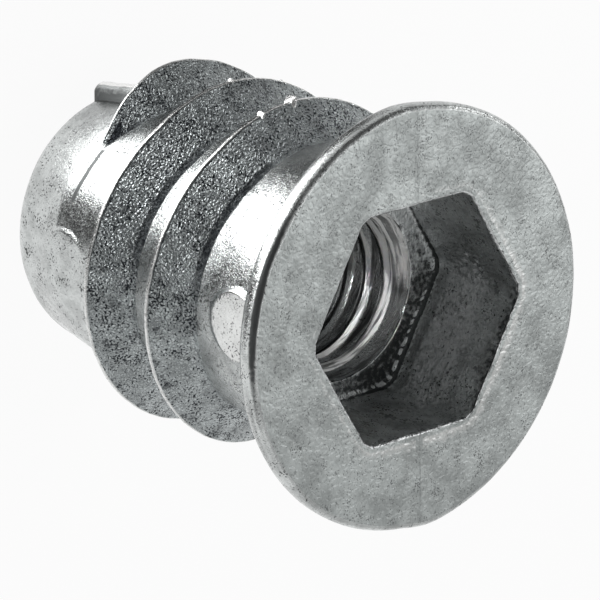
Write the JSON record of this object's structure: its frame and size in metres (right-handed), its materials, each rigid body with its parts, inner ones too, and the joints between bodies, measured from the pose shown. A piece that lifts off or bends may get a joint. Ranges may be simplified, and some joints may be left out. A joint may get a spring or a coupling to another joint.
{
  "type": "threaded insert",
  "caption": "Cast metal insert screwed into wood: coarse outer thread, thin round flange with a hexagon socket, and a tapped through bore.",
  "frame": {"origin": "centre of the nose end, on the axis of the bore", "axes": "+Z along the bore axis, out of the flange face; +X in the parting plane of the casting, square to one pair of socket flats"},
  "size_m": [0.0188, 0.0182, 0.0207],
  "materials": {
    "zinc_casting": "as-cast zinc alloy with thin bright plating: satin and fine-grained on the flange face and thread flanks, glossy on the neck and nose"
  },
  "bodies": {
    "root": {"threaded_insert": "zinc_casting"}
  },
  "joints": []
}
